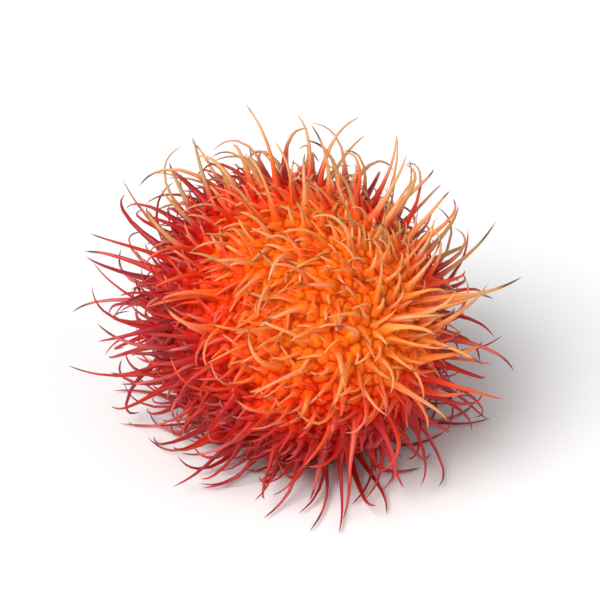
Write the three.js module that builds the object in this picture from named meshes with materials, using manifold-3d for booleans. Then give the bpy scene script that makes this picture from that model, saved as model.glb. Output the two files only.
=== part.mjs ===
// A whole rambutan as picked: one leathery, spiny fruit lying on its side.
//
// Frame: millimetres, +Z up. The origin is the middle of the small flat spot that the fruit
// rests on. +X runs along the fruit from the stem end to the tip.
//
// The fruit grew as one piece, so it is one solid: an egg-shaped rind with a cut stalk stub at the
// stem end, and soft tapering spines. The spines part above the tip, and from there they lean and
// hook over towards the sides, the underside and the stem end.
// Spines on the underside bend outwards and lie along the surface that carries the fruit.

import * as THREE from "three";
import { mergeVertices } from "three/addons/utils/BufferGeometryUtils.js";
import Module from "manifold-3d";

// ---------------------------------------------------------------- driving dimensions, mm

const RIND_LENGTH = 46; // stem end to tip, without spines
const RIND_WIDTH = 41;
const RIND_HEIGHT = 40; // before the resting spot is pressed flat
const TIP_TAPER = 0.06; // share by which the tip is slimmer and the stem end fuller
const LUMPINESS = 0.012; // share by which the rind swells and dips
const SWELL_WAVE = new THREE.Vector3(2.2, 3.1, 0); // radians along each axis of the egg
const SWELL_PHASE = 0.8;
const CROSS_SWELL_WAVE = new THREE.Vector3(-1.4, 0, 2.7);
const RIPPLE_WAVE = new THREE.Vector3(4.1, 0, 5.3);
const RIPPLE_SHARE = 0.5; // of the lumpiness
const RESTING_SPOT_RADIUS = 7;

const STALK_RADIUS = 2.3;
const STALK_HEIGHT = 1.4; // above the rind
const STALK_SUNK = 3;
const STALK_SIDES = 10;

const SPINE_COUNT = 356; // places on the rind, some of which stay bare
const SPINE_LENGTH = 13.5;
const SPINE_LENGTH_SPREAD = 0.25; // share either way
const SHORT_SIDE = new THREE.Vector3(0.69, -0.48, 0.54).normalize(); // shorter spines face it
const SHORT_SIDE_LENGTH = 0.72; // share of the length there
const FAR_SIDE_LENGTH = 1.1; // share of the length on the far side of the fruit
const SHORT_SIDE_EDGE = 0.75; // cosine of how far round from that side the shortest spines grow
const FAR_SIDE_EDGE = -0.25; // cosine of where the longest begin
const SPINE_GIRTH_SPREAD = 0.2; // share either way
const SPINE_ROOT_RADIUS = 1.1; // at the rind
const SPINE_SHAFT_RADIUS = 0.36; // of the taper that remains above the flared root
const SPINE_ROOT_FLARE = 0.11; // share of the length over which the root narrows
const SPINE_TAPER = 0.5; // the shaft's power: below 1 it stays thick for longer
const SPINE_SUNK = 2; // how far a root runs on inside the rind
const SPINE_RINGS = [0, 0.32, 0.7, 1]; // where the solid has a section, as a share of the length
const SPINE_SIDES = 3;
const THREE_SIDED_GAIN = 1.2; // makes three sides look as wide as a round section
const SPINE_STEPS = 12; // fine steps along a spine's curve

const LEAN_LEAST = 0; // degrees between a spine's start and the rind's normal
const LEAN_SPREAD = 30;
const HOOK_LEAST = 20; // degrees that a spine bends over along its length
const HOOK_SPREAD = 110;
const TWIST_SPREAD = 140; // degrees by which the bend itself turns along a spine
const PARTING_TILT = 38; // degrees from the tip up to the place where the spines part
const SWEEP_DRIFT = 0.6; // radians by which the spines' sweep winds to and fro over the fruit
const DRIFT_WAVE = new THREE.Vector3(0, 2.3, 1.7); // radians along each axis of the egg
const DRIFT_PHASE = 0.4;
const CROSS_DRIFT_WAVE = new THREE.Vector3(3.1, 0, -2.2);
const CROSS_DRIFT_PHASE = 1.9;
const CROSS_DRIFT_SHARE = 0.8; // of the drift
const SWEEP_SPREAD = 140; // degrees, how far a spine's heading strays from its neighbours'
const TURN_SPREAD = 80; // degrees between the way a spine leans and the way it hooks

const PLACE_JITTER = 0.42; // share of the spacing that a spine strays from its place
const BARE_ROUND_STALK = 4.6; // radius left free of spines
const BARE_BELOW = 0.9; // no spine is rooted lower than this
const LANDING = 2.6; // height over which a falling spine levels out
const SURFACE_GAP = 0.35; // by which a spine clears the surface that carries the fruit

const RIND_DETAIL = 4; // how often the rind's facets are split
const WELD_DISTANCE = 1e-4; // vertices closer than this are one
const CUTTER_SIZE = 3 * RIND_LENGTH; // sides of the block that cuts the resting spot
const NORMAL_REACH = 0.01; // radians between the points that give a normal
const RANDOM_SEED = 20417;
const RANDOM_FACTOR = 16807; // Park and Miller's
const RANDOM_MODULUS = 2 ** 31 - 1;

// ---------------------------------------------------------------- what follows from them

const DEGREE = Math.PI / 180;
const GOLDEN_ANGLE = Math.PI * (3 - Math.sqrt(5));
const HALF = new THREE.Vector3(RIND_LENGTH / 2, RIND_WIDTH / 2, RIND_HEIGHT / 2);
const CENTRE_HEIGHT = HALF.z * Math.sqrt(1 - (RESTING_SPOT_RADIUS / HALF.y) ** 2);
const SPACING_ANGLE = Math.sqrt((4 * Math.PI) / SPINE_COUNT);
const TIP = new THREE.Vector3(1, 0, 0);
const STEM = new THREE.Vector3(-1, 0, 0);
const PARTING = new THREE.Vector3(
  Math.cos(PARTING_TILT * DEGREE),
  0,
  Math.sin(PARTING_TILT * DEGREE),
);

const wasm = await Module();
wasm.setup();

// Park and Miller's generator: the same numbers in the same order, from 0 to 1.
let randomState = RANDOM_SEED;
function draw() {
  randomState = (randomState * RANDOM_FACTOR) % RANDOM_MODULUS;
  return randomState / RANDOM_MODULUS;
}

// A draw from -1 to 1.
function stray() {
  return 2 * draw() - 1;
}

// ---------------------------------------------------------------- rind

// The rind's surface in a direction seen from its centre, as an egg with slow swells.
function rindPoint(direction) {
  const { x, y, z } = direction;
  const wave = Math.sin(direction.dot(SWELL_WAVE) + SWELL_PHASE);
  const crossing = Math.cos(direction.dot(CROSS_SWELL_WAVE));
  const ripple = RIPPLE_SHARE * Math.sin(direction.dot(RIPPLE_WAVE));
  const swell = 1 + LUMPINESS * (wave * crossing + ripple);
  const girth = swell * (1 - TIP_TAPER * x);
  return new THREE.Vector3(
    HALF.x * x * swell,
    HALF.y * y * girth,
    HALF.z * z * girth + CENTRE_HEIGHT,
  );
}

// Two directions square to the given one: towards a pole of the fruit, and round that pole.
function tangents(direction, pole) {
  const towards = pole
    .clone()
    .addScaledVector(direction, -direction.dot(pole))
    .normalize();
  const around = new THREE.Vector3().crossVectors(direction, towards);
  return { towards, around };
}

// The rind's outward normal, from three points close together.
function rindNormal(direction) {
  const { towards, around } = tangents(direction, TIP);
  const here = rindPoint(direction);
  const along = rindPoint(
    direction.clone().addScaledVector(towards, NORMAL_REACH).normalize(),
  ).sub(here);
  const across = rindPoint(
    direction.clone().addScaledVector(around, NORMAL_REACH).normalize(),
  ).sub(here);
  return along.cross(across).normalize();
}

function rindGeometry() {
  const geometry = new THREE.IcosahedronGeometry(1, RIND_DETAIL);
  const position = geometry.getAttribute("position");
  const direction = new THREE.Vector3();
  for (let i = 0; i < position.count; i++) {
    direction.fromBufferAttribute(position, i).normalize();
    position.setXYZ(i, ...rindPoint(direction));
  }
  return geometry;
}

// The surface below the fruit, as a block to cut the resting spot with.
function surfaceGeometry() {
  const block = new THREE.BoxGeometry(CUTTER_SIZE, CUTTER_SIZE, CUTTER_SIZE);
  return block.translate(0, 0, -CUTTER_SIZE / 2);
}

// The cut end of the stalk, a low woody stub.
function stalkGeometry() {
  const height = STALK_SUNK + STALK_HEIGHT;
  const end = rindPoint(STEM);
  return new THREE.CylinderGeometry(STALK_RADIUS, STALK_RADIUS, height, STALK_SIDES)
    .rotateZ(Math.PI / 2)
    .translate(end.x + STALK_SUNK - height / 2, end.y, end.z);
}

// ---------------------------------------------------------------- spines

// How thick a spine is at a share of its length: a flared root, then a long taper to a point.
function spineRadius(share) {
  if (share >= 1) return 0;
  const flare = (SPINE_ROOT_RADIUS - SPINE_SHAFT_RADIUS) * Math.exp(-share / SPINE_ROOT_FLARE);
  const shaft = SPINE_SHAFT_RADIUS * (1 - share) ** SPINE_TAPER;
  return THREE_SIDED_GAIN * (flare + shaft);
}

// Place i on a spiral that covers the egg evenly, moved a little at random.
function spineDirection(i) {
  const x = 1 - (2 * i + 1) / SPINE_COUNT;
  const ring = Math.sqrt(1 - x * x);
  const turn = i * GOLDEN_ANGLE;
  const direction = new THREE.Vector3(x, ring * Math.cos(turn), ring * Math.sin(turn));
  const { towards, around } = tangents(direction, TIP);
  return direction
    .addScaledVector(towards, PLACE_JITTER * SPACING_ANGLE * stray())
    .addScaledVector(around, PLACE_JITTER * SPACING_ANGLE * stray())
    .normalize();
}

// Neighbours lean the same way: back from the parting, in slow drifts.
function sweepHeading(direction) {
  const drift = Math.sin(direction.dot(DRIFT_WAVE) + DRIFT_PHASE);
  const crossing = Math.sin(direction.dot(CROSS_DRIFT_WAVE) + CROSS_DRIFT_PHASE);
  return SWEEP_DRIFT * (drift + CROSS_DRIFT_SHARE * crossing);
}

// Spines are shortest on one side of the fruit: the share of the length that they have here.
function lengthShare(direction) {
  const near = THREE.MathUtils.smoothstep(
    direction.dot(SHORT_SIDE),
    FAR_SIDE_EDGE,
    SHORT_SIDE_EDGE,
  );
  return THREE.MathUtils.lerp(FAR_SIDE_LENGTH, SHORT_SIDE_LENGTH, near);
}

// The curve that a spine's middle follows from its base. It bends more and more about the hook
// axis, which turns with it, and levels out above the surface that carries the fruit.
function spineCurve({ base, start, hookAxis, hook, twist, length, girth }) {
  const step = length / SPINE_STEPS;
  const place = base.clone();
  const heading = start.clone();
  const axis = hookAxis.clone();
  const points = [place.clone()];
  for (let k = 0; k < SPINE_STEPS; k++) {
    const share = (k + 0.5) / SPINE_STEPS;
    heading.applyAxisAngle(axis, (hook * 2 * share) / SPINE_STEPS);
    axis.applyAxisAngle(heading, twist / SPINE_STEPS);
    const clear = Math.max(place.z - girth * spineRadius(share) - SURFACE_GAP, 0);
    const steepest = -clear / LANDING;
    if (heading.z < steepest) {
      const level = Math.sqrt((1 - steepest ** 2) / (heading.x ** 2 + heading.y ** 2));
      heading.set(heading.x * level, heading.y * level, steepest);
    }
    place.addScaledVector(heading, step);
    points.push(place.clone());
  }
  return new THREE.CatmullRomCurve3(points);
}

// A slim cone whose sections are moved onto the curve. Its first section is sunk in the rind.
// Each section is turned as little as possible from the one before it.
function spineGeometry(spine) {
  const curve = spineCurve(spine);
  const last = SPINE_RINGS.length - 1;
  const cone = new THREE.ConeGeometry(1, 1, SPINE_SIDES, last);
  const root = curve.getPoint(0).addScaledVector(curve.getTangent(0), -SPINE_SUNK);
  const across = spine.hookAxis.clone();
  const sections = SPINE_RINGS.map((share) => {
    const along = curve.getTangent(share);
    across.addScaledVector(along, -across.dot(along)).normalize();
    return {
      middle: share === 0 ? root : curve.getPoint(share),
      radius: spine.girth * spineRadius(share),
      side: across.clone(),
      over: new THREE.Vector3().crossVectors(across, along),
    };
  });
  const position = cone.getAttribute("position");
  const spoke = new THREE.Vector2();
  for (let i = 0; i < position.count; i++) {
    const { middle, radius, side, over } = sections[Math.round((position.getY(i) + 0.5) * last)];
    spoke.set(position.getX(i), position.getZ(i));
    spoke.normalize().multiplyScalar(radius);
    const point = middle
      .clone()
      .addScaledVector(side, spoke.x)
      .addScaledVector(over, spoke.y);
    position.setXYZ(i, point.x, point.y, point.z);
  }
  return cone;
}

function spineGeometries() {
  const stemEnd = rindPoint(STEM);
  const spines = [];
  for (let i = 0; i < SPINE_COUNT; i++) {
    const direction = spineDirection(i);
    const length = SPINE_LENGTH * lengthShare(direction) * (1 + SPINE_LENGTH_SPREAD * stray());
    const girth = 1 + SPINE_GIRTH_SPREAD * stray();
    const lean = DEGREE * (LEAN_LEAST + LEAN_SPREAD * draw());
    const hook = DEGREE * (HOOK_LEAST + HOOK_SPREAD * draw());
    const heading = sweepHeading(direction) + DEGREE * (SWEEP_SPREAD / 2) * stray();
    const turn = DEGREE * (TURN_SPREAD / 2) * stray();
    const twist = DEGREE * (TWIST_SPREAD / 2) * stray();

    // Every place draws its numbers, so that a bare one doesn't change those that follow.
    const base = rindPoint(direction);
    if (base.z < BARE_BELOW || base.distanceTo(stemEnd) < BARE_ROUND_STALK) continue;

    const normal = rindNormal(direction);
    const { towards, around } = tangents(normal, PARTING);
    const leanAxis = new THREE.Vector3()
      .addScaledVector(around, -Math.cos(heading))
      .addScaledVector(towards, Math.sin(heading));
    const hookAxis = leanAxis.clone().applyAxisAngle(normal, turn);
    const start = normal.clone().applyAxisAngle(leanAxis, lean);
    spines.push(spineGeometry({ base, start, hookAxis, hook, twist, length, girth }));
  }
  return spines;
}

// ---------------------------------------------------------------- solids

function solidOf(geometry) {
  const bare = geometry.clone();
  for (const name of Object.keys(bare.attributes)) {
    if (name !== "position") bare.deleteAttribute(name);
  }
  const merged = mergeVertices(bare, WELD_DISTANCE);
  return new wasm.Manifold(
    new wasm.Mesh({
      numProp: 3,
      vertProperties: new Float32Array(merged.getAttribute("position").array),
      triVerts: new Uint32Array(merged.getIndex().array),
    }),
  );
}

function geometryOf(solid) {
  const mesh = solid.getMesh();
  const geometry = new THREE.BufferGeometry();
  geometry.setAttribute("position", new THREE.BufferAttribute(mesh.vertProperties, 3));
  geometry.setIndex(new THREE.BufferAttribute(mesh.triVerts, 1));
  geometry.computeVertexNormals();
  return geometry;
}

function fruitGeometry() {
  const grown = [rindGeometry(), stalkGeometry(), ...spineGeometries()].map(solidOf);
  return geometryOf(wasm.Manifold.union(grown).subtract(solidOf(surfaceGeometry())));
}

// ---------------------------------------------------------------- the part

const spinyRind = new THREE.MeshStandardMaterial({
  color: 0xf0491c,
  roughness: 0.55,
  metalness: 0,
});

const rambutan = new THREE.Group();
const fruit = new THREE.Mesh(fruitGeometry(), spinyRind);
fruit.name = "rambutan_fruit";
rambutan.add(fruit);

export default rambutan;
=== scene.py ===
"""A whole rambutan on a pale floor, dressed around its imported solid.

Metres, +Z up. The origin is the middle of the small flat spot that the fruit rests on, and +X
runs along the fruit from the stem end to the tip. The rind and the long spines grow by the rule
of the solid, with its sizes and its order of random draws, so each lies where the solid has it.
"""

from __future__ import annotations

import logging
import math
from dataclasses import dataclass, field
from enum import Enum
from typing import Any, Optional, Sequence, Union

import bpy
import numpy as np
from bpy.types import Camera, Light, Material, Mesh, Node, NodeSocket, Object
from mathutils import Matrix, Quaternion, Vector
from mathutils.kdtree import KDTree


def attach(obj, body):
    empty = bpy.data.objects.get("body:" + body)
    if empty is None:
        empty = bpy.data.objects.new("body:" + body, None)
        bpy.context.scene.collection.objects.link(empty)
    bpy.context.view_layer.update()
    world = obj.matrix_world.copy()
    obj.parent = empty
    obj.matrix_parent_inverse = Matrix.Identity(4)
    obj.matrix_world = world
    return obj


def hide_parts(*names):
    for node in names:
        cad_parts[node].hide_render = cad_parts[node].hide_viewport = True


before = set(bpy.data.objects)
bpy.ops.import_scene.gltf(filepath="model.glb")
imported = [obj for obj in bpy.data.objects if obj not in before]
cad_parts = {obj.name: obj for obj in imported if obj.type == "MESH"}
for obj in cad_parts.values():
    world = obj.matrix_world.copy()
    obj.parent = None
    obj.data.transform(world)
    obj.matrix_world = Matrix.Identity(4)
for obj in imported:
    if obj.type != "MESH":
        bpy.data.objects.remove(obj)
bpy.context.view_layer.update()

log = logging.getLogger("rambutan")

MM = 0.001
DEGREE = math.radians(1)
FRUIT_NODE = "rambutan_fruit"
FRUIT_BODY = "root"
BAKE_MAP = "OFBake"  # a UV map's name that the export keeps
GOLDEN_ANGLE = math.pi * (3 - math.sqrt(5))
RANDOM_FACTOR = 16807
RANDOM_MODULUS = 2**31 - 1
ALONG = 0.9  # cosine of an angle, from which a direction counts as along an axis
TIP = Vector((1, 0, 0))
STEM = Vector((-1, 0, 0))

Colour = tuple[float, float, float]
Colours = tuple[Colour, ...]
Stops = Sequence[tuple[float, Colour]]  # places from 0 to 1, with their colours
Wave = tuple[float, float, float]  # radians of a sine for each unit along X, Y and Z
Way = tuple[float, float, float]  # to the right, up and towards the viewer
Span = tuple[float, float]  # where something starts to rise, and where it is full
Pairs = tuple[tuple[float, float], ...]


# ---- random draws and small sums


@dataclass
class Draws:
    """Park and Miller's generator: the same numbers in the same order on every run."""

    state: int  # at first the seed, a whole number above zero

    def draw(self) -> float:
        """Return the next number, from 0 to 1."""
        self.state = self.state * RANDOM_FACTOR % RANDOM_MODULUS
        return self.state / RANDOM_MODULUS

    def stray(self) -> float:
        """Return the next number, from -1 to 1."""
        return 2 * self.draw() - 1


def tangents(direction: Vector, pole: Vector) -> tuple[Vector, Vector]:
    """Return the two directions square to a unit vector: towards a pole, and round it."""
    towards = (pole - direction * direction.dot(pole)).normalized()
    return towards, direction.cross(towards)


def unit_rows(rows: np.ndarray) -> np.ndarray:
    """Return vectors, one a row, at length 1."""
    return rows / np.linalg.norm(rows, axis=1, keepdims=True)


def smooth_step(span: Span, value: Union[np.ndarray, float]) -> np.ndarray:
    """Return a share for each value, which rises smoothly from 0 to 1 over a span."""
    share = np.clip((value - span[0]) / (span[1] - span[0]), 0, 1)
    return share * share * (3 - 2 * share)


# ---- modelling helpers


def deselect_all() -> None:
    """Deselect every object, those of the solid among them, because operators act on all selected."""
    bpy.ops.object.select_all(action="DESELECT")


def positions(mesh: Mesh) -> np.ndarray:
    """Return the places of a mesh's vertices, one a row."""
    return np.array([vertex.co for vertex in mesh.vertices], float)


def move_to(mesh: Mesh, places: np.ndarray) -> None:
    """Move a mesh's vertices to the given places, one a row."""
    mesh.vertices.foreach_set("co", places.ravel())
    mesh.update()


def keep_attribute(mesh: Mesh, name: str, values: Union[np.ndarray, float]) -> None:
    """Store a number for each vertex, for a material to read."""
    attribute = mesh.attributes.new(name, "FLOAT", "POINT")
    attribute.data.foreach_set("value", np.full(len(mesh.vertices), values, np.float32))


def dress(piece: Object, material: Material) -> None:
    """Give a finished piece of the fruit its material, and tie it to the solid.

    Args:
        piece: A mesh object at the origin.
        material: Its finish.
    """
    piece.data.materials.clear()
    piece.data.materials.append(material)
    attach(piece, FRUIT_BODY)
    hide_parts(FRUIT_NODE)


# ---- shader maths


@dataclass(frozen=True)
class Value:
    """A node's number output. An expression on values adds its Math nodes."""

    shader: Shader
    socket: NodeSocket

    def _math(self, operation: str, first: Number, second: Number) -> Value:
        """Add one Math node and return its output."""
        node = self.shader.node("ShaderNodeMath", {"operation": operation}, {0: first, 1: second})
        return Value(self.shader, node.outputs[0])

    def __add__(self, other: Number) -> Value:
        """Return self + other."""
        return self._math("ADD", self, other)

    def __sub__(self, other: Number) -> Value:
        """Return self - other."""
        return self._math("SUBTRACT", self, other)

    def __rsub__(self, other: Number) -> Value:
        """Return other - self."""
        return self._math("SUBTRACT", other, self)

    def __mul__(self, other: Number) -> Value:
        """Return self * other."""
        return self._math("MULTIPLY", self, other)

    __radd__ = __add__
    __rmul__ = __mul__

    def stray(self) -> Value:
        """Return how far self is from 0.5, the middle of a noise or of a random draw."""
        return self - 0.5

    def within(self) -> Value:
        """Return self held between 0 and 1."""
        node = self.shader.node("ShaderNodeClamp", {}, {"Value": self})
        return Value(self.shader, node.outputs[0])

    def step(self, span: Span) -> Value:
        """Rise smoothly from 0 to 1 over a span of self.

        Args:
            span: Where the rise starts, and where it is full.

        Returns:
            The share risen.
        """
        given = {"Value": self, "From Min": span[0], "From Max": span[1]}
        node = self.shader.node("ShaderNodeMapRange", {"interpolation_type": "SMOOTHSTEP"}, given)
        return Value(self.shader, node.outputs["Result"])


Number = Union[Value, float]
Paint = Union[NodeSocket, Colour]


@dataclass(frozen=True)
class Grain:
    """Soft noise, whose values go from about 0.2 to 0.8."""

    size: float  # of its blots
    layers: float = 3.0  # of finer and finer noise
    strength: float = 0.5  # of each layer over the last


@dataclass(frozen=True)
class Cover:
    """How much of one colour shows on another, as some measure rises."""

    most: float
    span: Span

    def over(self, measure: Value) -> Value:
        """Return the share that shows."""
        return self.most * measure.step(self.span)


class Shader:
    """A material under construction."""

    def __init__(self, name: str) -> None:
        """Start a material with no nodes.

        Args:
            name: The material's name.
        """
        self.material = bpy.data.materials.new(name)
        self.material.use_nodes = True
        self.tree = self.material.node_tree
        self.tree.nodes.clear()

    def node(self, kind: str, settings: dict[str, Any], inputs: dict[Any, Any]) -> Node:
        """Add a node.

        Args:
            kind: The node's type.
            settings: Its properties, which are set first.
            inputs: Its sockets' values, or what they are linked to, by name or number.

        Returns:
            The node.
        """
        node = self.tree.nodes.new(kind)
        for name, setting in settings.items():
            setattr(node, name, setting)
        for name, given in inputs.items():
            source = given.socket if isinstance(given, Value) else given
            if isinstance(source, NodeSocket):
                self.tree.links.new(source, node.inputs[name])
            elif isinstance(source, tuple) and node.inputs[name].type == "RGBA":
                node.inputs[name].default_value = (*source, 1.0)
            else:
                node.inputs[name].default_value = source
        return node

    def attribute(self, name: str) -> Value:
        """Read a number that each vertex holds."""
        node = self.node("ShaderNodeAttribute", {"attribute_name": name}, {})
        return Value(self, node.outputs["Fac"])

    def place(self) -> NodeSocket:
        """Return the place on the fruit, in metres."""
        return self.node("ShaderNodeTexCoord", {}, {}).outputs["Object"]

    def vector_math(self, operation: str, first: Any, second: Any) -> Node:
        """Add a Vector Math node."""
        return self.node("ShaderNodeVectorMath", {"operation": operation}, {0: first, 1: second})

    def noise(self, grain: Grain, flat: Optional[NodeSocket] = None) -> Value:
        """Add soft noise.

        Args:
            grain: The noise, in metres or in units of the map.
            flat: A map for it to lie on, in place of the fruit.

        Returns:
            The noise at each place.
        """
        given = {"Scale": 1 / grain.size, "Detail": grain.layers, "Roughness": grain.strength}
        given["Vector"] = flat or self.place()
        settings = {"noise_dimensions": "2D" if flat else "3D"}
        return Value(self, self.node("ShaderNodeTexNoise", settings, given).outputs["Fac"])

    def mix(self, share: Number, first: Paint, second: Paint) -> NodeSocket:
        """Blend two colours, by the share of the second."""
        given = {0: share, 6: first, 7: second}  # the sockets of its colour mode
        return self.node("ShaderNodeMix", {"data_type": "RGBA"}, given).outputs[2]

    def ramp(self, share: Value, stops: Stops) -> NodeSocket:
        """Choose a colour by a number from 0 to 1.

        Args:
            share: The number.
            stops: The colours and their places.

        Returns:
            The colour.
        """
        node = self.node("ShaderNodeValToRGB", {}, {"Fac": share})
        elements = node.color_ramp.elements
        elements.remove(elements[-1])
        for i, (place, colour) in enumerate(stops):
            element = elements.new(place) if i else elements[0]
            element.position = place
            element.color = (*colour, 1.0)
        return node.outputs["Color"]

    def bump(self, height: Value, depth: float) -> NodeSocket:
        """Turn a height from 0 to 1 into a normal, where 1 stands for a depth in metres."""
        given = {"Height": height, "Distance": depth, "Strength": 1.0}
        return self.node("ShaderNodeBump", {}, given).outputs["Normal"]

    def surface(self, sockets: dict[str, Any]) -> Material:
        """Finish the material with one Principled shader.

        Args:
            sockets: Its sockets' values, or what they are linked to, by name.

        Returns:
            The material.
        """
        shader = self.node("ShaderNodeBsdfPrincipled", {}, sockets)
        self.node("ShaderNodeOutputMaterial", {}, {"Surface": shader.outputs["BSDF"]})
        return self.material


# ---- form of the fruit


@dataclass(frozen=True)
class Egg:
    """The rind's outer form without spines, as an egg with slow swells."""

    length: float = 46 * MM
    width: float = 41 * MM
    height: float = 40 * MM
    tip_taper: float = 0.06
    lumpiness: float = 0.012
    swell_wave: Wave = (2.2, 3.1, 0.0)
    swell_phase: float = 0.8
    cross_swell_wave: Wave = (-1.4, 0.0, 2.7)
    ripple_wave: Wave = (4.1, 0.0, 5.3)
    ripple_share: float = 0.5  # of the lumpiness
    resting_radius: float = 7 * MM
    normal_reach: float = 0.01  # radians between the places that give a normal

    @property
    def centre(self) -> Vector:
        """The middle of the egg, above the resting spot."""
        pressed = math.sqrt(1 - (self.resting_radius / (self.width / 2)) ** 2)
        return Vector((0, 0, self.height / 2 * pressed))

    def surface(self, directions: np.ndarray) -> np.ndarray:
        """Find the rind in directions seen from the centre.

        Args:
            directions: Unit vectors, one a row.

        Returns:
            The places on the rind, one a row.
        """
        x, y, z = directions.T
        swell = np.sin(directions @ self.swell_wave + self.swell_phase)
        ripple = np.sin(directions @ self.ripple_wave)
        lumps = swell * np.cos(directions @ self.cross_swell_wave) + self.ripple_share * ripple
        swollen = 1 + self.lumpiness * lumps
        girth = swollen * (1 - self.tip_taper * x)
        along = self.length / 2 * x * swollen
        across = self.width / 2 * y * girth
        upwards = self.height / 2 * z * girth + self.centre.z
        return np.stack((along, across, upwards), axis=1)

    def point(self, direction: Vector) -> Vector:
        """Find the rind in one direction."""
        return Vector(self.surface(np.array([direction], float))[0])

    def normals(self, directions: np.ndarray) -> np.ndarray:
        """Find the rind's outward normals.

        Args:
            directions: Unit vectors from the centre, one a row.

        Returns:
            Unit vectors, one a row.
        """
        near_x = np.abs(directions[:, :1]) > ALONG  # too close to X to measure from it
        pole = np.where(near_x, [[0.0, 0.0, 1.0]], [[1.0, 0.0, 0.0]])
        towards = unit_rows(pole - directions * (directions * pole).sum(1, keepdims=True))
        here = self.surface(directions)
        steps = (self.normal_reach * way for way in (towards, np.cross(directions, towards)))
        sides = [self.surface(unit_rows(directions + step)) - here for step in steps]
        return unit_rows(np.cross(*sides))


class SpineKind(Enum):
    """The two lengths of spine on the fruit, with their pieces' names."""

    LONG = "long_spines"
    SHORT = "short_spines"


@dataclass(frozen=True)
class SpineForm:
    """How one kind of spine is shaped."""

    kind: SpineKind
    length: float
    length_spread: float  # share either way
    root_radius: float
    shaft_radius: float  # of the taper above the flared root
    lean_least: float  # from the rind's normal
    lean_spread: float
    sides: int
    ring_steps: tuple[int, ...]  # which steps of the path have a section
    withered_above: float  # the ripeness from which tips are dry
    root_flare: float = 0.11  # share of the length over which the root narrows
    taper: float = 0.5  # below 1, the shaft stays thick for longer
    sunk: float = 2 * MM

    def radius(self, share: float) -> float:
        """Return the spine's thickness at a share of its length."""
        flare = (self.root_radius - self.shaft_radius) * math.exp(-share / self.root_flare)
        return flare + self.shaft_radius * (1 - share) ** self.taper


@dataclass
class Spine:
    """One spine as it grew."""

    form: SpineForm
    base: Vector
    start: Vector  # the way it leaves the rind
    side: Vector  # the axis that it bends about at its root
    length: float
    girth: float  # its thickness over that of the form
    hook: float  # how far it bends
    twist: float  # how far the axis turns on the way
    tone: float  # from 0 to 1, to set it apart from others
    ripeness: float  # the same
    path: list[Vector] = field(default_factory=list)  # its middle at each step


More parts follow.
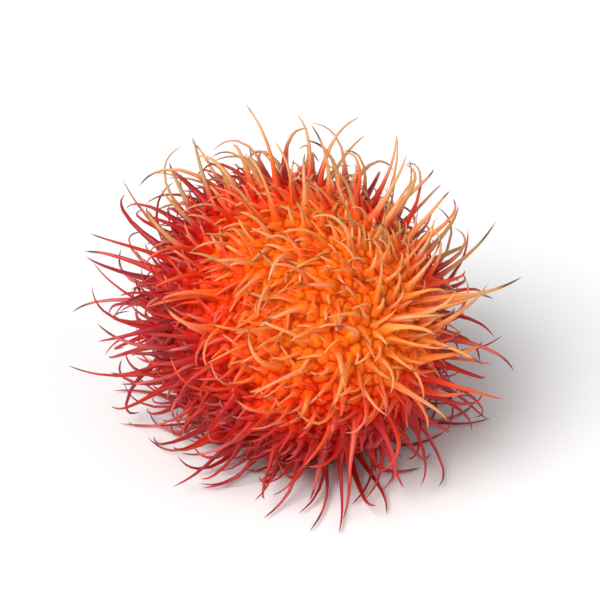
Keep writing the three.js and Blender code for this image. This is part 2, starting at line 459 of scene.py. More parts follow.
@dataclass
class Growth:
    """Where spines grow on the egg, and how they lean and hook."""

    egg: Egg
    long: SpineForm
    short: SpineForm
    count: int = 356  # places for long spines, of which some stay bare
    short_candidates: int = 5200  # places for short ones
    short_gap: float = 1.4 * MM  # from a short spine's root to any other
    steps: int = 12
    girth_spread: float = 0.2
    short_side: Vector = Vector((0.69, -0.48, 0.54))  # where the shorter spines grow
    short_side_span: Span = (-0.25, 0.75)  # of the cosine of the angle to it
    longest: float = 1.1  # share of the form's length
    shortest: float = 0.72
    hook_least: float = 20 * DEGREE
    hook_spread: float = 110 * DEGREE
    twist_spread: float = 70 * DEGREE  # either way
    parting_tilt: float = 38 * DEGREE  # from the tip up to where the spines part
    drifts: tuple[tuple[Wave, float, float], ...] = (  # of the heading: wave, phase and most
        ((0.0, 2.3, 1.7), 0.4, 0.6),
        ((3.1, 0.0, -2.2), 1.9, 0.48),
    )
    sweep_spread: float = 70 * DEGREE  # either way
    turn_spread: float = 40 * DEGREE  # either way, from the lean to the hook
    place_jitter: float = 0.42
    bare_round_stalk: float = 4.6 * MM
    bare_below: float = 0.9 * MM
    landing: float = 2.6 * MM  # height in which a falling spine levels out
    surface_gap: float = 0.35 * MM
    clearance: float = 1.2  # of a spine's radius, from its middle to the floor
    easings: int = 2  # how often its path is rounded off
    seed: int = 20417
    looks_seed_step: int = 7919
    spines: list[Spine] = field(default_factory=list)

    def grow(self) -> list[Spine]:
        """Grow the long spines, then the short ones between them.

        Returns:
            The spines, the long ones first.
        """
        draws = Draws(self.seed)
        for i in range(self.count):
            self._grow_at(self._jittered(i, draws), self.long, draws)
        bases = np.array([spine.base for spine in self.spines])
        for i in range(self.short_candidates):
            direction = self._spiral(i, self.short_candidates)
            base = np.array(self.egg.point(direction))
            if np.linalg.norm(bases - base, axis=1).min() >= self.short_gap:
                bases = np.vstack((bases, base))
                self._grow_at(direction, self.short, draws)
        return self.spines

    @staticmethod
    def _spiral(i: int, count: int) -> Vector:
        """Find a place on a spiral that covers the egg evenly.

        Args:
            i: The place's number.
            count: How many there are.

        Returns:
            Its direction from the egg's centre.
        """
        x = 1 - (2 * i + 1) / count
        ring = math.sqrt(1 - x * x)
        turn = i * GOLDEN_ANGLE
        return Vector((x, ring * math.cos(turn), ring * math.sin(turn)))

    def _jittered(self, i: int, draws: Draws) -> Vector:
        """Find a place for a long spine, moved a little at random.

        Args:
            i: The place's number.
            draws: The random draws.

        Returns:
            Its direction from the egg's centre.
        """
        direction = self._spiral(i, self.count)
        towards, around = tangents(direction, TIP)
        reach = self.place_jitter * math.sqrt(4 * math.pi / self.count)
        direction += towards * reach * draws.stray()
        direction += around * reach * draws.stray()
        return direction.normalized()

    def _sweep(self, direction: Vector) -> float:
        """Return the heading that neighbouring spines share, in radians."""
        return sum(most * math.sin(np.dot(direction, wave) + phase) for wave, phase, most in self.drifts)

    def _length_share(self, direction: Vector) -> float:
        """Return how long the spines in a direction are, for their form's length."""
        near = smooth_step(self.short_side_span, direction.dot(self.short_side.normalized()))
        return self.longest + float(near) * (self.shortest - self.longest)

    def _grow_at(self, direction: Vector, form: SpineForm, draws: Draws) -> None:
        """Draw one spine's growth, and keep it unless its place stays bare.

        Args:
            direction: Its root's direction from the egg's centre.
            form: The kind of spine.
            draws: Random draws, of which every place takes the same number.
        """
        length = form.length * self._length_share(direction)
        length *= 1 + form.length_spread * draws.stray()
        girth = 1 + self.girth_spread * draws.stray()
        lean = form.lean_least + form.lean_spread * draws.draw()
        hook = self.hook_least + self.hook_spread * draws.draw()
        heading = self._sweep(direction) + self.sweep_spread * draws.stray()
        turn = self.turn_spread * draws.stray()
        twist = self.twist_spread * draws.stray()

        base = self.egg.point(direction)
        from_stalk = (base - self.egg.point(STEM)).length
        if base.z < self.bare_below or from_stalk < self.bare_round_stalk:
            return
        normal = Vector(self.egg.normals(np.array([direction], float))[0])
        parting = Vector((math.cos(self.parting_tilt), 0, math.sin(self.parting_tilt)))
        towards, around = tangents(normal, parting)
        lean_axis = towards * math.sin(heading) - around * math.cos(heading)
        side = Quaternion(normal, turn) @ lean_axis
        start = Quaternion(lean_axis, lean) @ normal
        looks = Draws(1 + len(self.spines) * self.looks_seed_step)
        looks.draw()  # the first draw of a small seed is close to 0
        tone, ripeness = looks.draw(), looks.draw()
        spine = Spine(form, base, start, side, length, girth, hook, twist, tone, ripeness)
        spine.path = self._path(spine)
        self.spines.append(spine)

    def _path(self, spine: Spine) -> list[Vector]:
        """Follow a spine from its root to its tip, and level it out above the floor.

        Args:
            spine: The spine, which has no path yet.

        Returns:
            Its middle at each step.
        """
        place, heading, axis = spine.base, spine.start, spine.side
        path = [place]
        for k in range(self.steps):
            share = (k + 0.5) / self.steps
            heading = Quaternion(axis, spine.hook * 2 * share / self.steps) @ heading
            axis = Quaternion(heading, spine.twist / self.steps) @ axis
            thickness = spine.girth * spine.form.radius(share)
            clear = max(place.z - self.clearance * thickness - self.surface_gap, 0)
            steepest = -clear / self.landing
            if heading.z < steepest:
                level = math.sqrt((1 - steepest**2) / (heading.x**2 + heading.y**2))
                heading = Vector((heading.x * level, heading.y * level, steepest))
            place = place + heading * (spine.length / self.steps)
            path.append(place)
        for _ in range(self.easings):
            neighbours = zip(path, path[1:], path[2:])
            inner = [here * 0.5 + (before + after) * 0.25 for before, here, after in neighbours]
            path = [path[0], *inner, path[-1]]
        return path


# ---- finishes


FLESH_GLOW: Colour = (1.0, 0.25, 0.08)  # how far each colour of light spreads inside


@dataclass(frozen=True)
class Ripening:
    """How the fruit's colour turns from one side to the other."""

    centre: Vector
    paler_side: Vector = Vector((0.6, -0.14, 0.79))  # where the orange patch is
    radius: float = 21 * MM
    stops: tuple[float, ...] = (0.05, 0.35, 0.6, 0.9)  # of the paleness
    skin: Colours = ((0.26, 0.003, 0.005), (0.62, 0.008, 0.002), (0.9, 0.05, 0.002), (0.95, 0.2, 0.008))
    shaft: Colours = ((0.26, 0.003, 0.005), (0.52, 0.008, 0.004), (0.88, 0.08, 0.009), (0.97, 0.33, 0.075))
    # painted shade: darker reds painted into the grooves between the mounds and into the hollows along the
    # spines, where shade falls
    groove: Colours = ((0.16, 0.002, 0.003), (0.34, 0.004, 0.002), (0.5, 0.01, 0.001), (0.6, 0.035, 0.001))
    least_paleness: float = 0.24
    side_paleness: Cover = Cover(0.66, (0.15, 1.0))
    blots: Grain = Grain(9 * MM, 2.0)
    blot_share: float = 0.6
    stray_share: float = 0.14
    scuff: Colour = (0.3, 0.055, 0.012)
    scuff_blots: Grain = Grain(2.4 * MM, 4.0, 0.65)
    scuffs: Cover = Cover(0.45, (0.56, 0.72))

    def ramp(self, shader: Shader, paleness: Value, colours: Colours) -> NodeSocket:
        """Choose a colour for each place from those of one part, with one for each stop."""
        return shader.ramp(paleness, tuple(zip(self.stops, colours)))

    def facing(self, shader: Shader, side: Vector) -> Value:
        """Measure how far places lie to one side.

        Args:
            shader: The material.
            side: The direction of that side.

        Returns:
            From -1 to 1 across the fruit.
        """
        offset = shader.vector_math("SUBTRACT", shader.place(), tuple(self.centre)).outputs["Vector"]
        measured = shader.vector_math("DOT_PRODUCT", offset, tuple(side.normalized() / self.radius))
        return Value(shader, measured.outputs["Value"])

    def paleness(self, shader: Shader, stray: Number) -> Value:
        """Judge how orange, rather than red, the fruit is.

        Args:
            shader: The material.
            stray: From -1 to 1, to make a place deeper or paler.

        Returns:
            A share.
        """
        share = self.least_paleness + self.side_paleness.over(self.facing(shader, self.paler_side))
        blots = shader.noise(self.blots).stray()
        return (share + self.blot_share * blots + self.stray_share * stray).within()

    def scuffed(self, shader: Shader, colour: NodeSocket) -> NodeSocket:
        """Brown a colour a little, in small patches as from handling."""
        return shader.mix(self.scuffs.over(shader.noise(self.scuff_blots)), colour, self.scuff)


@dataclass(frozen=True)
class RindFinish:
    """The leathery skin between the spines, with painted shade in the grooves."""

    ripening: Ripening
    corky: Colour = (0.2, 0.05, 0.016)
    roughness: float = 0.5
    roughness_spread: float = 0.25
    grain: Grain = Grain(0.45 * MM, 4.0, 0.6)
    grain_depth: float = 0.2 * MM
    grain_share: float = 0.5  # by which the grain breaks up the edges of the grooves' painted shade
    # random flecks, painted in the grooves' shade colour
    flecks: Grain = Grain(1.1 * MM, 3.0, 0.6)
    fleck_cover: Cover = Cover(0.4, (0.52, 0.68))
    rise_gain: float = 1.25
    out_of_groove_shade: Span = (0.0, 0.9)
    blots: Grain = Grain(0.8 * MM, 4.0, 0.65)
    blot_share: float = 2.2  # by which the blots break up the corky zone
    cork_cover: Cover = Cover(0.8, (0.3, 1.1))

    def material(self) -> Material:
        """Build the material.

        Returns:
            The material, which reads the attributes "rise" and "stalk".
        """
        shader = Shader("rind_skin")
        rise = shader.attribute("rise")
        paleness = self.ripening.paleness(shader, 0.0)
        skin = self.ripening.ramp(shader, paleness, self.ripening.skin)
        # painted shade: the skin turns to the darker groove colours where it lies low between the mounds
        groove = self.ripening.ramp(shader, paleness, self.ripening.groove)
        grain = shader.noise(self.grain)
        out_of_shade = (rise * self.rise_gain + self.grain_share * grain.stray()).step(self.out_of_groove_shade)
        out_of_shade = out_of_shade * (1 - self.fleck_cover.over(shader.noise(self.flecks)))
        colour = self.ripening.scuffed(shader, shader.mix(out_of_shade, groove, skin))
        blots = shader.noise(self.blots)
        cork = self.cork_cover.over(shader.attribute("stalk") + self.blot_share * blots.stray())
        sockets = {
            "Base Color": shader.mix(cork, colour, self.corky),
            "Roughness": self.roughness + self.roughness_spread * grain.stray(),
            "Specular IOR Level": 0.06,
            "Subsurface Weight": 0.05,
            "Subsurface Radius": FLESH_GLOW,
            "Subsurface Scale": 0.8 * MM,
            "Normal": shader.bump(grain, self.grain_depth),
        }
        return shader.surface(sockets)


@dataclass(frozen=True)
class SpineFinish:
    """The soft spines, in the rind's colour at the root and paler towards the tip.

    Each has a tone and a ripeness of its own, and a share from 0 at its root to 1.
    """

    ripening: Ripening
    map_cells: tuple[int, int]  # columns and rows of the UV map, a cell for each spine
    withered_above: float
    unripe_side: Vector = Vector((-0.15, 0.35, 0.9))
    crimson: Colour = (0.58, 0.036, 0.062)
    dusky: Colour = (0.76, 0.24, 0.2)
    salmon: Colour = (0.94, 0.35, 0.15)
    cream: Colour = (0.84, 0.43, 0.18)
    olive: Colour = (0.48, 0.31, 0.08)
    withered: Colour = (0.12, 0.035, 0.012)
    roughness: float = 0.36
    roughness_spread: float = 0.3
    streaks: Grain = Grain(1.0, 3.0, 0.6)
    streaks_round: float = 7.0  # for each turn round a spine
    streaks_along: float = 1.5  # for each length of one
    streak_depth: float = 0.15 * MM
    shaft_span: Span = (0.02, 0.4)  # of the share, where the root's colour gives way
    shaft_streaks: float = 0.4
    crease_shade_share: float = 0.6
    crease_shade_span: Span = (0.3, 0.55)  # of the streaks, where the painted crease shade ends
    salmon_span: Span = (0.25, 0.9)  # of the paleness
    dusky_cover: Cover = Cover(0.85, (0.4, 0.65))  # by ripeness
    rosy_cover: Cover = Cover(0.6, (0.5, 0.75))  # by tone
    rosy_span: Span = (0.05, 0.5)  # of the share
    dull_span: Span = (0.2, 1.1)  # towards the unripe side
    dull_tones: float = 0.8
    olive_span: Span = (0.6, 0.95)  # of the tone
    tip_cover: Cover = Cover(0.8, (0.45, 1.1))
    tip_tones: float = 0.35
    tip_dullness: float = 0.5
    tip_span: Span = (0.05, 0.35)  # of the share
    dry_share: float = 0.9
    dry_span: Span = (0.74, 0.88)  # of the share
    dry_tones: float = 0.16
    dry_edge: float = 0.1  # of ripeness

    def material(self) -> Material:
        """Build the material.

        Returns:
            The material, which reads the attributes "share", "tone" and "ripeness".
        """
        shader = Shader("spine_skin")
        share, tone, ripeness = map(shader.attribute, ("share", "tone", "ripeness"))
        spine_map = shader.node("ShaderNodeUVMap", {"uv_map": BAKE_MAP}, {}).outputs["UV"]
        rates = (self.map_cells[0] * self.streaks_round, self.map_cells[1] * self.streaks_along, 1)
        drawn_out = shader.vector_math("MULTIPLY", spine_map, rates).outputs["Vector"]
        streaks = shader.noise(self.streaks, drawn_out)
        paleness = self.ripening.paleness(shader, 2 * ripeness - 1)
        fresh = shader.mix(paleness.step(self.salmon_span), self.crimson, self.salmon)
        dusky = self.dusky_cover.over(ripeness) * (1 - paleness)
        fresh = shader.mix(dusky, fresh, self.dusky)

        parts = (self.ripening.skin, self.ripening.shaft, self.ripening.groove)
        root, shaft, crease_shade_colour = (self.ripening.ramp(shader, paleness, part) for part in parts)
        along = share + self.shaft_streaks * streaks.stray()
        body = shader.mix(along.step(self.shaft_span), root, shaft)
        # painted shade: the spine darkens to the groove colours in the hollows of its streaks
        crease_shade_mask = self.crease_shade_share * (1 - streaks.step(self.crease_shade_span))
        rosy = self.rosy_cover.over(tone) * share.step(self.rosy_span)
        body = shader.mix(rosy, shader.mix(crease_shade_mask, body, crease_shade_colour), fresh)
        body = self.ripening.scuffed(shader, body)

        unripe = self.ripening.facing(shader, self.unripe_side)
        dull = (unripe + self.dull_tones * tone.stray()).step(self.dull_span)
        stale = shader.mix(tone.step(self.olive_span), self.cream, self.olive)
        reach = share + self.tip_tones * tone.stray() + self.tip_dullness * dull
        tip_share = self.tip_cover.over(reach) * share.step(self.tip_span)
        tipped = shader.mix(tip_share, body, shader.mix(dull, fresh, stale))
        dry = (share + self.dry_tones * tone.stray()).step(self.dry_span)
        ripe = (self.withered_above - self.dry_edge, self.withered_above + self.dry_edge)
        dry = self.dry_share * (dry * ripeness.step(ripe))
        sockets = {
            "Base Color": shader.mix(dry, tipped, self.withered),
            "Roughness": self.roughness + self.roughness_spread * streaks.stray(),
            "Specular IOR Level": 0.28,
            "Subsurface Weight": 0.08,
            "Subsurface Radius": FLESH_GLOW,
            "Subsurface Scale": 0.7 * MM,
            "Normal": shader.bump(streaks, self.streak_depth),
        }
        return shader.surface(sockets)


@dataclass(frozen=True)
class StalkFinish:
    """The woody stub, with brown bark and a cut of tan wood with dark pith."""

    bark: Colour = (0.07, 0.032, 0.016)
    bark_light: Colour = (0.24, 0.135, 0.07)
    bark_span: Span = (0.35, 0.65)  # of the fibre, from dark to light
    cut: Stops = (  # from the rim to the pith
        (0.0, (0.07, 0.032, 0.016)),
        (0.14, (0.15, 0.065, 0.027)),
        (0.26, (0.38, 0.19, 0.075)),
        (0.55, (0.33, 0.155, 0.058)),
        (0.78, (0.2, 0.09, 0.036)),
        (0.9, (0.08, 0.036, 0.018)),
    )
    cut_span: Span = (0.02, 0.12)
    cut_fibre: float = 0.3
    grime: Colour = (0.11, 0.05, 0.025)
    grime_cover: Cover = Cover(0.75, (0.48, 0.66))
    fibre: Grain = Grain(0.35 * MM, 5.0, 0.65)
    fibre_depth: float = 0.3 * MM
    patches: Grain = Grain(1.3 * MM, 4.0, 0.6)
    roughness: float = 0.75
    roughness_spread: float = 0.3

    def material(self) -> Material:
        """Build the material.

        Returns:
            The material, which reads the attribute "cut".
        """
        shader = Shader("stalk_wood")
        fibre = shader.noise(self.fibre)
        bark = shader.mix(fibre.step(self.bark_span), self.bark, self.bark_light)
        inwards = shader.attribute("cut")
        wood = shader.ramp((inwards + self.cut_fibre * fibre.stray()).within(), self.cut)
        wood = shader.mix(self.grime_cover.over(shader.noise(self.patches)), wood, self.grime)
        sockets = {
            "Base Color": shader.mix(inwards.step(self.cut_span), bark, wood),
            "Roughness": self.roughness + self.roughness_spread * fibre.stray(),
            "Normal": shader.bump(fibre, self.fibre_depth),
        }
        return shader.surface(sockets)


@dataclass(frozen=True)
class FloorFinish:
    """A matt pale table."""

    colour: Colour = (0.9, 0.9, 0.9)
    roughness: float = 0.6

    def material(self) -> Material:
        """Build the floor's material."""
        shader = Shader("pale_floor")
        return shader.surface({"Base Color": self.colour, "Roughness": self.roughness})


# ---- sub-assemblies


@dataclass
class Rind:
    """The fruit's skin, with a mound where each spine grows out of it."""

    egg: Egg
    spines: list[Spine]
    mound_height: float = 0.35 * MM
    mound_reach: float = 1.2  # of a spine's root radius
    mound_rise: float = 0.45  # a mound's part of the rise out of the grooves
    pad_height: float = 0.2 * MM
    groove_depth: float = 0.2 * MM
    groove_span: Span = (0.72, 1.0)  # of the way from a root to halfway to the next
    wander: float = 0.3 * MM  # how far the grooves stray from even lines
    wander_rate: float = 1700.0  # per metre
    wander_phase: float = 0.9
    spiny_span: Span = (3.4 * MM, 5.4 * MM)  # from the stalk, where the mounds rise
    bare_rise: float = 0.6  # of the bare skin round the stalk
    stalk_collar: float = 3.3 * MM
    collar_height: float = 0.5 * MM
    collar_width: float = 0.9 * MM
    collar_folds: int = 9
    fold_depth: float = 0.4  # of the collar's height, either way
    fold_crowding: float = 1.3  # how the folds crowd together, twice round
    bare_span: Span = (2.31 * MM, 5.2 * MM)  # from the stalk, where corky skin gives way
    cuts: int = 10  # of each of two subdivisions of a cube's sides

    def build(self) -> Object:
        """Model the rind from a cube with many faces.

        Returns:
            The rind, with its attributes "rise" and "stalk".
        """
        deselect_all()
        bpy.ops.mesh.primitive_cube_add(size=2, calc_uvs=True)
        piece = bpy.context.object
        piece.name = "rind"
        bpy.ops.object.mode_set(mode="EDIT")
        for _ in range(2):
            bpy.ops.mesh.subdivide(number_cuts=self.cuts)
        bpy.ops.object.mode_set(mode="OBJECT")
        piece.data.uv_layers[0].name = BAKE_MAP

        evened_out = np.tan(positions(piece.data) * math.pi / 4)
        places, rise = self._skin(unit_rows(evened_out))
        move_to(piece.data, places)
        keep_attribute(piece.data, "rise", rise)
        keep_attribute(piece.data, "stalk", 1 - smooth_step(self.bare_span, self._from_stalk(places)))
        bpy.ops.object.shade_smooth()
        return piece

    def _from_stalk(self, places: np.ndarray) -> np.ndarray:
        """Return the distance of each place from the middle of the stem end."""
        return np.linalg.norm(places - np.array(self.egg.point(STEM)), axis=1)

    def _nearest(self, places: np.ndarray) -> tuple[np.ndarray, ...]:
        """Find the spines round each place.

        Args:
            places: One a row.

        Returns:
            The distance to the nearest root, the distance to the next, and the nearest's number.
        """
        tree = KDTree(len(self.spines))
        for i, spine in enumerate(self.spines):
            tree.insert(spine.base, i)
        tree.balance()
        found = [tree.find_n(place, 2) for place in places]
        first, second = (np.array([near[i][2] for near in found]) for i in (0, 1))
        return first, second, np.array([near[0][1] for near in found])

    def _skin(self, directions: np.ndarray) -> tuple[np.ndarray, np.ndarray]:
        """Raise the mounds and press the resting spot flat.

        Args:
            directions: Unit vectors from the egg's centre, one a row.

        Returns:
            The places of the skin, and how far each is out of the grooves, from 0 to 1.
        """
        bare = self.egg.surface(directions)
        normals = self.egg.normals(directions)
        stray = np.sin(self.wander_rate * bare[:, [1, 2, 0]] + self.wander_phase)
        first, second, nearest = self._nearest(bare + self.wander * stray)
        roots = np.array([spine.form.root_radius for spine in self.spines])[nearest]
        starts = np.array([spine.start for spine in self.spines])[nearest]

        cell = 2 * first / (first + second)
        mound = np.exp(-((first / (self.mound_reach * roots)) ** 2))
        groove = smooth_step(self.groove_span, cell)
        spiny = smooth_step(self.spiny_span, self._from_stalk(bare))
        pad = (self.pad_height * (1 - cell**2) - self.groove_depth * groove) * spiny
        raised = normals * (pad + self._collar(bare))[:, None]
        places = bare + raised + starts * (self.mound_height * mound * spiny)[:, None]
        rise = np.clip((1 - self.mound_rise) * (1 - groove) + self.mound_rise * mound, 0, 1)
        rise = rise * spiny + self.bare_rise * (1 - spiny)
        pressed = self.groove_depth * (1 - rise)
        places[:, 2] = np.maximum(places[:, 2], pressed)
        return places, rise

    def _collar(self, bare: np.ndarray) -> np.ndarray:
        """Find how high the folded collar round the stalk stands.

        Args:
            bare: Places on the smooth egg, one a row.

        Returns:
            The collar's height at each.
        """
        stem_end = self.egg.point(STEM)
        turn = np.arctan2(bare[:, 1] - stem_end.y, bare[:, 2] - stem_end.z)
        waves = np.sin(self.collar_folds * turn + self.fold_crowding * np.sin(2 * turn))
        folds = (1 - self.fold_depth) + self.fold_depth * waves
        off_crest = (self._from_stalk(bare) - self.stalk_collar) / self.collar_width
        return self.collar_height * folds * np.exp(-(off_crest**2))

    def dress(self, piece: Object) -> None:
        """Paint the rind and tie it to the solid."""
        dress(piece, RindFinish(Ripening(self.egg.centre)).material())


@dataclass
class SpineCoat:
    """All spines of one kind, copied from one that is modelled straight."""

    egg: Egg
    form: SpineForm
    all_spines: list[Spine]  # of both kinds
    flatness: float = 1.12  # width over the round form's, and that over thickness
    map_columns: int = 28
    map_margin: float = 0.06
    near_axis: float = 0.001 * MM  # within which a corner has no side of its own

    @property
    def spines(self) -> list[Spine]:
        """The spines of this form."""
        return [spine for spine in self.all_spines if spine.form is self.form]

    @property
    def map_cells(self) -> tuple[int, int]:
        """The columns and rows of the UV map."""
        return self.map_columns, math.ceil(len(self.spines) / self.map_columns)

    def build(self) -> Object:
        """Model one spine and lay its copies along their paths.

        Returns:
            The joined spines.
        """
        model = self._model()
        copies = [self._laid(model, i, spine) for i, spine in enumerate(self.spines)]
        bpy.data.objects.remove(model)
        deselect_all()
        for copy in copies:
            copy.select_set(True)
        bpy.context.view_layer.objects.active = copies[0]
        bpy.ops.object.join()
        piece = bpy.context.object
        piece.name = self.form.kind.value
        bpy.ops.object.shade_smooth()
        return piece

    def _model(self) -> Object:
        """Model one straight spine, upright, with its root at height 0.

        Returns:
            The spine, with a UV map that runs round it and along it.
        """
        height, radius, sides = -self.form.sunk, self.form.radius(0), self.form.sides
        deselect_all()
        bpy.ops.mesh.primitive_circle_add(vertices=sides, radius=radius, location=(0, 0, height))
        bpy.ops.object.transform_apply(location=True)
        model = bpy.context.object
        bpy.ops.object.mode_set(mode="EDIT")
        bpy.ops.mesh.edge_face_add()
        steps = self.form.ring_steps[-1]
        for step in self.form.ring_steps:
            share = step / steps
            rise = share * self.form.length - height
            bpy.ops.mesh.extrude_region_move(TRANSFORM_OT_translate={"value": (0, 0, rise)})
            height += rise
            if step < steps:
                slimmer, middle = self.form.radius(share) / radius, (0, 0, height)
                bpy.ops.transform.resize(value=(slimmer, slimmer, 1), center_override=middle)
                radius = self.form.radius(share)
        bpy.ops.mesh.merge(type="CENTER")
        bpy.ops.mesh.select_all(action="SELECT")
        bpy.ops.mesh.normals_make_consistent(inside=False)
        bpy.ops.object.mode_set(mode="OBJECT")
        self._map(model.data)
        return model

    def _map(self, mesh: Mesh) -> None:
        """Unroll the straight spine onto a UV map.

        Args:
            mesh: Its mesh.
        """
        layer = mesh.uv_layers.new(name=BAKE_MAP)
        length = self.form.length + self.form.sunk
        for face in mesh.polygons:
            middle = math.atan2(face.center.y, face.center.x)
            for loop in face.loop_indices:
                x, y, z = mesh.vertices[mesh.loops[loop].vertex_index].co
                turn = math.atan2(y, x) if math.hypot(x, y) > self.near_axis else middle
                turn -= math.tau * round((turn - middle) / math.tau)
                around = 0.5 + turn / math.tau * self.form.sides / (self.form.sides + 1)
                layer.data[loop].uv = (around, (z + self.form.sunk) / length)

    def _laid(self, model: Object, number: int, spine: Spine) -> Object:
        """Copy the straight spine and bend the copy along a path.

        Args:
            model: The straight spine.
            number: The copy's place on the UV map.
            spine: The path, and what sets the spine apart.

        Returns:
            The copy.
        """
        copy = model.copy()
        copy.data = model.data.copy()
        bpy.context.collection.objects.link(copy)
        x, y, z = positions(copy.data).T[:, :, None]
        share = np.clip(z[:, 0] / self.form.length, 0, 1)
        ring = np.rint(share * (len(spine.path) - 1)).astype(int)
        middles, sides, overs, alongs = (rows[ring] for rows in self._sections(spine))
        below = np.where(z < -self.form.sunk / 2, self.form.sunk, 0.0)
        wide, thick = spine.girth * self.flatness, spine.girth / self.flatness
        places = middles - alongs * below + sides * (x * wide) + overs * (y * thick)
        places[:, 2] = np.maximum(places[:, 2], 0)
        move_to(copy.data, places)
        keep_attribute(copy.data, "share", share)
        keep_attribute(copy.data, "tone", spine.tone)
        keep_attribute(copy.data, "ripeness", spine.ripeness)
        self._place_map(copy.data, number)
        return copy

    @staticmethod
    def _sections(spine: Spine) -> tuple[np.ndarray, ...]:
        """Find a frame at each step of a path, turned as little as possible from the last.

        Args:
            spine: The spine whose path it is.

        Returns:
            The middles, the two directions across, and the direction along, one a row.
        """
        path, side, rows = spine.path, spine.side, []
        for before, middle, after in zip([path[0], *path], path, [*path[1:], path[-1]]):
            along = (after - before).normalized()
            side = (side - along * side.dot(along)).normalized()
            rows.append((middle, side, side.cross(along), along))
        return tuple(np.array(column, float) for column in zip(*rows))

    def _place_map(self, mesh: Mesh, number: int) -> None:
        """Move a copy's UV map to its own cell of the whole map.

        Args:
            mesh: The copy's mesh.
            number: The cell's.
        """
        corners = mesh.uv_layers[BAKE_MAP].data
        whole = np.array([corner.uv for corner in corners], float)
        inner = self.map_margin + (1 - 2 * self.map_margin) * whole
        cell = (number % self.map_columns, number // self.map_columns)
        corners.foreach_set("uv", ((cell + inner) / self.map_cells).ravel())

    def dress(self, piece: Object) -> None:
        """Paint the spines and tie them to the solid."""
        finish = SpineFinish(Ripening(self.egg.centre), self.map_cells, self.form.withered_above)
        dress(piece, finish.material())


@dataclass
class StalkStub:
    """What is left of the stalk at the stem end, cut across."""

    egg: Egg
    radius: float = 2.3 * MM
    height: float = 1.4 * MM  # above the rind
    sunk: float = 3 * MM
    sides: int = 44
    rings: Pairs = (  # shares of height and radius
        (0.0, 1.14), (0.12, 1.02), (0.4, 0.93), (0.75, 0.9), (0.94, 0.94), (1.0, 0.88),
    )
    steps_across: Pairs = (  # the cut's insets and how they drop
        (0.22 * MM, -0.16 * MM),
        (0.3 * MM, -0.08 * MM),
        (0.35 * MM, 0.06 * MM),
        (0.4 * MM, -0.05 * MM),
        (0.3 * MM, -0.16 * MM),
    )
    cut_radius: float = 0.86  # share of the radius
    splits: int = 5  # cracks from the middle of the cut outwards
    split_phase: float = 0.4
    split_sharpness: int = 12
    split_depth: float = 0.22 * MM
    slant: float = 0.12  # rise of the cut for its width
    ridges: tuple[tuple[int, float, float], ...] = (  # count, depth for the radius, phase
        (3, 0.05, 0.7),
        (7, 0.035, 2.0),
        (11, 0.025, 1.1),
    )
    sharp_from: float = 50 * DEGREE  # between two faces

    def build(self) -> Object:
        """Model the stub upright, then lay it along the fruit's axis.

        Returns:
            The stub, with its attribute "cut".
        """
        deselect_all()
        bpy.ops.mesh.primitive_cylinder_add(vertices=self.sides, radius=self.radius, depth=self.sunk)
        piece = bpy.context.object
        piece.name = "stalk_stub"
        bpy.ops.object.mode_set(mode="EDIT")
        bpy.ops.mesh.select_all(action="DESELECT")
        bpy.ops.object.mode_set(mode="OBJECT")
        for face in piece.data.polygons:
            face.select = face.normal.z > ALONG
        bpy.ops.object.mode_set(mode="EDIT")
        height, width = 0.0, 1.0
        for share, girth in self.rings:
            rise = share * self.height - height
            bpy.ops.mesh.extrude_region_move(TRANSFORM_OT_translate={"value": (0, 0, rise)})
            height += rise
            wider, middle = girth / width, (0, 0, self.sunk / 2 + height)
            bpy.ops.transform.resize(value=(wider, wider, 1), center_override=middle)
            width = girth
        for thickness, depth in self.steps_across:
            bpy.ops.mesh.inset(thickness=thickness, depth=depth)
        bpy.ops.mesh.poke()
        bpy.ops.object.mode_set(mode="OBJECT")
        self._weather(piece.data)
        bpy.ops.object.shade_smooth_by_angle(angle=self.sharp_from)
        return piece

    def _weather(self, mesh: Mesh) -> None:
        """Roughen the upright stub, crack and slant its cut, and lay it on the stem end.

        Args:
            mesh: The stub's mesh.
        """
        x, y, z = positions(mesh).T
        across = np.hypot(x, y) / self.radius
        turn = np.arctan2(y, x)
        above = z - self.sunk / 2
        cut = (above > self.height / 2) & (across < self.cut_radius)
        keep_attribute(mesh, "cut", np.where(cut, 1 - across, 0))

        cracks = np.abs(np.cos(self.splits / 2 * turn + self.split_phase)) ** self.split_sharpness
        reach = np.sin(math.pi * np.clip(across, 0, 1))
        z -= np.where(cut, self.split_depth * cracks * reach, 0)
        z += self.slant * x * np.clip(above / self.height, 0, 1)
        ridges = (depth * np.sin(count * turn + phase) for count, depth, phase in self.ridges)
        ridged = 1 + sum(ridges)
        end = self.egg.point(STEM)
        laid = (end.x + self.sunk / 2 - z, end.y + y * ridged, end.z + x * ridged)
        move_to(mesh, np.stack(laid, axis=1))

    def dress(self, piece: Object) -> None:
        """Paint the stub and tie it to the solid."""
        dress(piece, StalkFinish().material())


@dataclass(frozen=True)
class Sun:
    """A soft light that is as strong everywhere on the floor."""

    way: Way  # where it shines from
    strength: float  # watts a square metre
    spread: float  # the angle that it fills, seen from the fruit


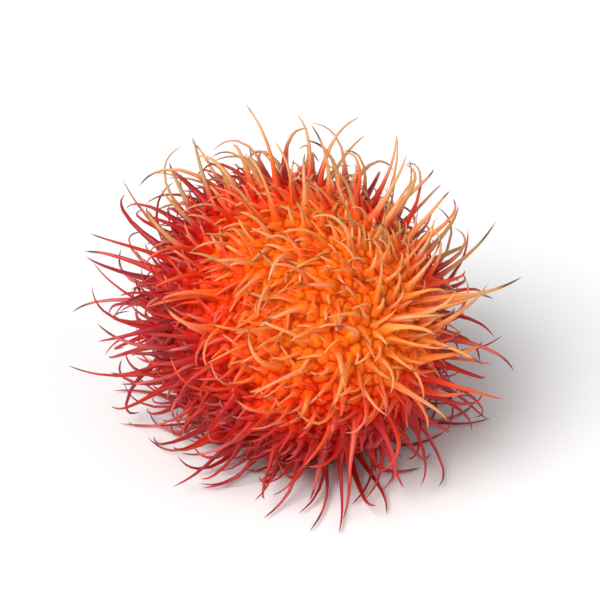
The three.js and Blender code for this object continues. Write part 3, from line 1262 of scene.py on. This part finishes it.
@dataclass
class Studio:
    """A pale floor, soft light and the camera."""

    target: Vector = Vector((0, 0, 0.0225))
    azimuth: float = 55 * DEGREE
    elevation: float = 33 * DEGREE
    lens: float = 135.0
    distance: float = 0.34
    nearest: float = 0.01  # that the camera sees
    floor_size: float = 6.0
    key: Sun = Sun((-0.75, 1.05, 0.6), strength=3.5, spread=45 * DEGREE)
    fill: Sun = Sun((0.9, 0.55, 0.5), strength=0.6, spread=60 * DEGREE)
    sky: float = 0.34

    def build(self) -> None:
        """Set the floor, the lights, the sky and the camera."""
        deselect_all()
        bpy.ops.mesh.primitive_plane_add(size=self.floor_size)
        floor = bpy.context.object
        floor.name = "floor"
        floor.data.materials.append(FloorFinish().material())
        for name, sun in (("key", self.key), ("fill", self.fill)):
            lamp = bpy.data.lights.new(name, "SUN")
            lamp.energy = sun.strength
            lamp.angle = sun.spread
            self._aimed(lamp, sun.way)
        world = bpy.data.worlds.new("studio")
        world.use_nodes = True
        background = world.node_tree.nodes["Background"]
        background.inputs["Color"].default_value = (1, 1, 1, 1)
        background.inputs["Strength"].default_value = self.sky
        bpy.context.scene.world = world
        bpy.context.scene.view_settings.view_transform = "Standard"
        lens = bpy.data.cameras.new("camera")
        lens.lens = self.lens
        lens.clip_start = self.nearest
        bpy.context.scene.camera = self._aimed(lens, (0, math.tan(self.elevation), 1))

    def _aimed(self, data: Union[Light, Camera], way: Way) -> Object:
        """Aim a light or the camera at the fruit.

        Args:
            data: What is aimed.
            way: Where it is.

        Returns:
            Its object in the scene.
        """
        right, up, back = way
        cosine, sine = math.cos(self.azimuth), math.sin(self.azimuth)
        outwards = Vector((cosine * right + sine * back, sine * right - cosine * back, up))
        outwards.normalize()
        aimed = bpy.data.objects.new(data.name, data)
        aimed.location = self.target + outwards * self.distance
        aimed.rotation_euler = outwards.to_track_quat("Z", "Y").to_euler()
        bpy.context.collection.objects.link(aimed)
        return aimed


# ---- the whole scene


def main() -> None:
    """Build the fruit and the studio around it."""
    logging.basicConfig(level=logging.INFO, format="%(name)s: %(message)s")
    Studio().build()
    egg = Egg()
    long = SpineForm(
        SpineKind.LONG, length=13.5 * MM, length_spread=0.25, root_radius=1.1 * MM,
        shaft_radius=0.36 * MM, lean_least=0, lean_spread=30 * DEGREE, withered_above=0.6,
        sides=6, ring_steps=(0, 1, 2, 4, 6, 8, 9, 10, 11, 12),
    )
    short = SpineForm(
        SpineKind.SHORT, length=5.8 * MM, length_spread=0.35, root_radius=0.7 * MM,
        shaft_radius=0.28 * MM, lean_least=20 * DEGREE, lean_spread=45 * DEGREE,
        withered_above=0.35, sides=5, ring_steps=(0, 2, 5, 8, 10, 12),
    )
    spines = Growth(egg, long, short).grow()
    coats = SpineCoat(egg, long, spines), SpineCoat(egg, short, spines)
    for assembly in (Rind(egg, spines), *coats, StalkStub(egg)):
        piece = assembly.build()
        assembly.dress(piece)
        piece.data.calc_loop_triangles()
        log.info("%s has %d triangles", piece.name, len(piece.data.loop_triangles))


if __name__ == "__main__":
    main()
